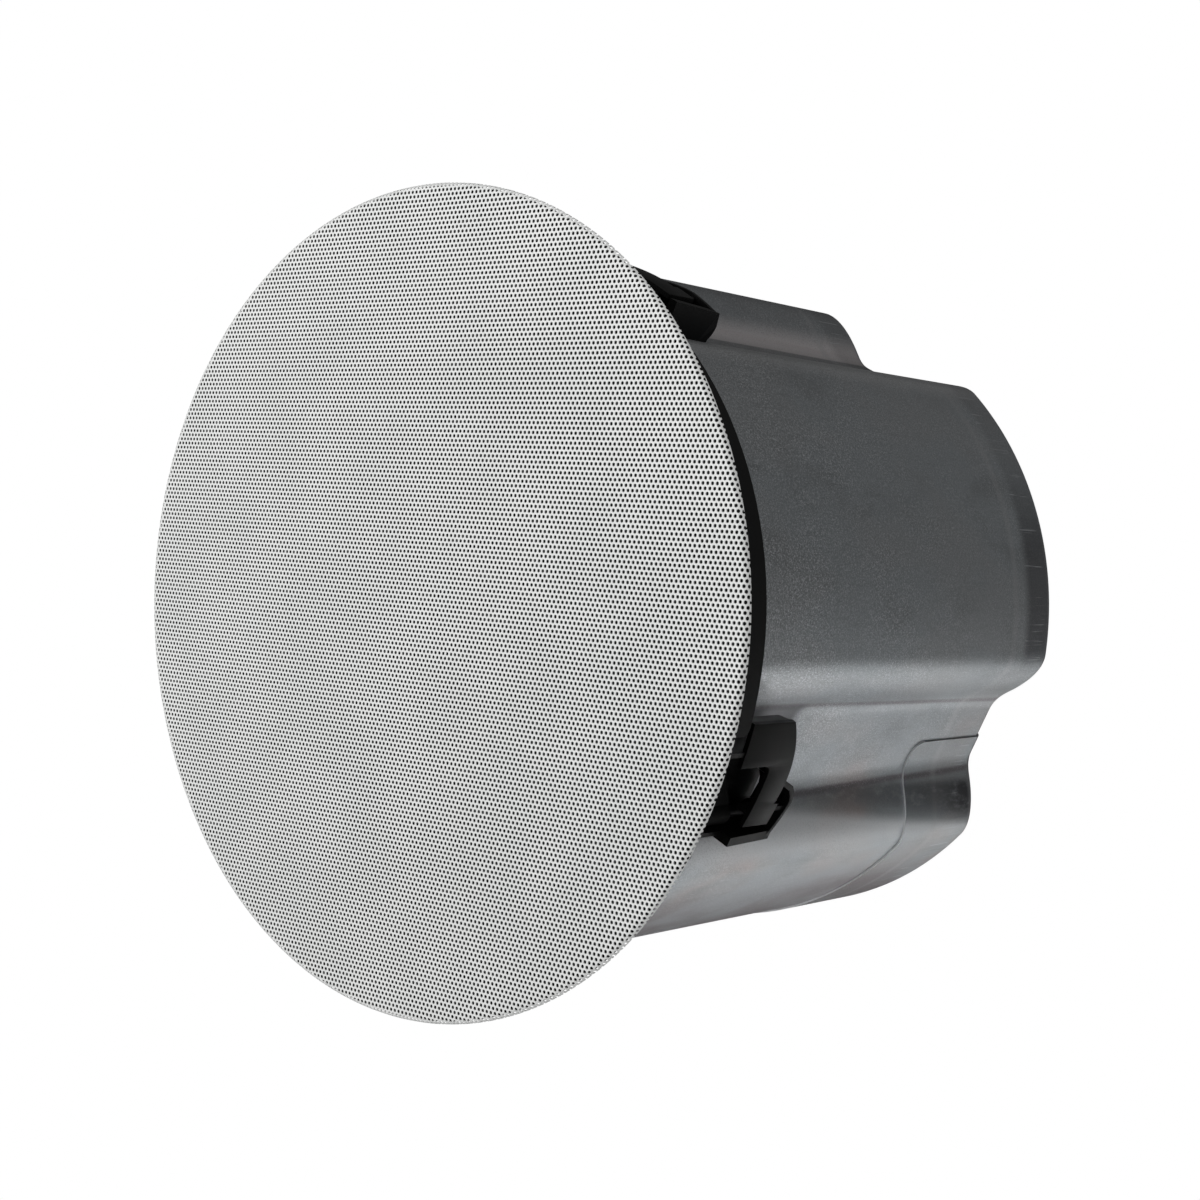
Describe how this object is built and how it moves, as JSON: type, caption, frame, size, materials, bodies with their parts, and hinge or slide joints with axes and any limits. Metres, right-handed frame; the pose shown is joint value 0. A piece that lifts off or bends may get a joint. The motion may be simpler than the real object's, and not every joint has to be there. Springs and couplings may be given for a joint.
{
  "type": "in-ceiling loudspeaker",
  "caption": "Round in-ceiling loudspeaker: white perforated grille, black moulded baffle with swing-out clamps, and a drawn steel back can with a wiring compartment.",
  "frame": {"origin": "centre of the flange's rear face, the plane that meets the room side of the ceiling board", "axes": "+Y points from the room into the ceiling void along the speaker's axis, +Z is towards the tether tab and away from the wiring compartment, +X completes the right-handed frame"},
  "size_m": [0.311, 0.265, 0.311],
  "materials": {
    "grille_white": "fine white powder coat",
    "cloth_black": "open acoustic cloth",
    "magnet_nickel": "nickel plated",
    "baffle_black": "moulded, low sheen",
    "gasket_foam": "closed cell foam",
    "can_zinc": "zinc plated drawn sheet",
    "screw_zinc": "bright zinc",
    "terminal_green": "moulded",
    "frame_grey": "pressed and painted",
    "cone_paper": "treated paper",
    "surround_rubber": "moulded half roll",
    "spider_cotton": "impregnated cotton",
    "coil_copper": "enamelled copper wire",
    "plate_steel": "passivated steel",
    "ferrite_grey": "sintered ferrite",
    "terminal_board": "laminated board",
    "dome_silk": "coated silk",
    "core_steel": "varnished laminations",
    "coil_tape": "wound tape",
    "board_green": "solder mask",
    "standoff_nylon": "nylon",
    "capacitor_red": "moulded case",
    "resistor_ceramic": "glazed ceramic",
    "knob_ivory": "moulded",
    "lining_wool": "polyester wadding",
    "lead_black": "insulated pair",
    "lead_red": "insulated pair"
  },
  "bodies": {
    "housing": {"grille": "grille_white", "grille_cloth": "cloth_black", "grille_magnets": "magnet_nickel", "baffle": "baffle_black", "can_gasket": "gasket_foam", "back_can": "can_zinc", "wiring_cover": "can_zinc", "cover_screws": "screw_zinc", "wiring_box": "can_zinc", "terminal_socket": "terminal_green", "terminal_plug": "terminal_green", "tether_tab": "can_zinc", "tether_rivets": "screw_zinc", "can_screws": "screw_zinc", "clamp_bracket_1": "baffle_black", "clamp_bracket_2": "baffle_black", "clamp_bracket_3": "baffle_black", "clamp_bracket_4": "baffle_black", "bracket_screws": "screw_zinc", "woofer_frame": "frame_grey", "woofer_surround": "surround_rubber", "woofer_spider": "spider_cotton", "top_plate": "plate_steel", "ferrite_magnet": "ferrite_grey", "yoke": "plate_steel", "woofer_screws": "screw_zinc", "woofer_terminals": "terminal_board", "tweeter_post": "frame_grey", "tweeter_cup": "frame_grey", "tweeter_magnet": "magnet_nickel", "tweeter_dome": "dome_silk", "tweeter_waveguide": "baffle_black", "transformer_core": "core_steel", "transformer_coil": "coil_tape", "transformer_strap": "can_zinc", "transformer_screws": "screw_zinc", "crossover_board": "board_green", "board_standoffs": "standoff_nylon", "choke_coil": "coil_copper", "film_capacitors": "capacitor_red", "power_resistor": "resistor_ceramic", "tap_switch": "baffle_black", "tap_switch_nut": "screw_zinc", "damping_lining": "lining_wool", "input_lead": "lead_black", "woofer_lead": "lead_red"},
    "screw_1": {"clamp_screw_1": "screw_zinc"},
    "ear_1": {"clamp_ear_1": "baffle_black"},
    "screw_2": {"clamp_screw_2": "screw_zinc"},
    "ear_2": {"clamp_ear_2": "baffle_black"},
    "screw_3": {"clamp_screw_3": "screw_zinc"},
    "ear_3": {"clamp_ear_3": "baffle_black"},
    "screw_4": {"clamp_screw_4": "screw_zinc"},
    "ear_4": {"clamp_ear_4": "baffle_black"},
    "cone_and_coil": {"woofer_cone": "cone_paper", "voice_coil": "coil_copper"},
    "selector": {"tap_knob": "knob_ivory"}
  },
  "joints": [
    {"name": "clamp_turn_1", "type": "hinge", "parent": "housing", "child": "screw_1", "pos_m": [0.10182, 0.0285, 0.07849], "axis": [0, 1, 0], "range_deg": [0, 90]},
    {"name": "clamp_grip_1", "type": "slide", "parent": "screw_1", "child": "ear_1", "axis": [0, -1, 0], "range_m": [-0.015, 0.015]},
    {"name": "clamp_turn_2", "type": "hinge", "parent": "housing", "child": "screw_2", "pos_m": [-0.07849, 0.0285, 0.10182], "axis": [0, 1, 0], "range_deg": [0, 90]},
    {"name": "clamp_grip_2", "type": "slide", "parent": "screw_2", "child": "ear_2", "axis": [0, -1, 0], "range_m": [-0.015, 0.015]},
    {"name": "clamp_turn_3", "type": "hinge", "parent": "housing", "child": "screw_3", "pos_m": [-0.10182, 0.0285, -0.07849], "axis": [0, 1, 0], "range_deg": [0, 90]},
    {"name": "clamp_grip_3", "type": "slide", "parent": "screw_3", "child": "ear_3", "axis": [0, -1, 0], "range_m": [-0.015, 0.015]},
    {"name": "clamp_turn_4", "type": "hinge", "parent": "housing", "child": "screw_4", "pos_m": [0.07849, 0.0285, -0.10182], "axis": [0, 1, 0], "range_deg": [0, 90]},
    {"name": "clamp_grip_4", "type": "slide", "parent": "screw_4", "child": "ear_4", "axis": [0, -1, 0], "range_m": [-0.015, 0.015]},
    {"name": "cone_stroke", "type": "slide", "parent": "housing", "child": "cone_and_coil", "axis": [0, 1, 0], "range_m": [-0.004, 0.004], "stiffness_N_per_m": 1500, "deforming": ["woofer_surround", "woofer_spider"]},
    {"name": "tap_select", "type": "hinge", "parent": "housing", "child": "selector", "pos_m": [0.1125, 0, 0], "axis": [0, 1, 0], "range_deg": [0, 150]}
  ]
}
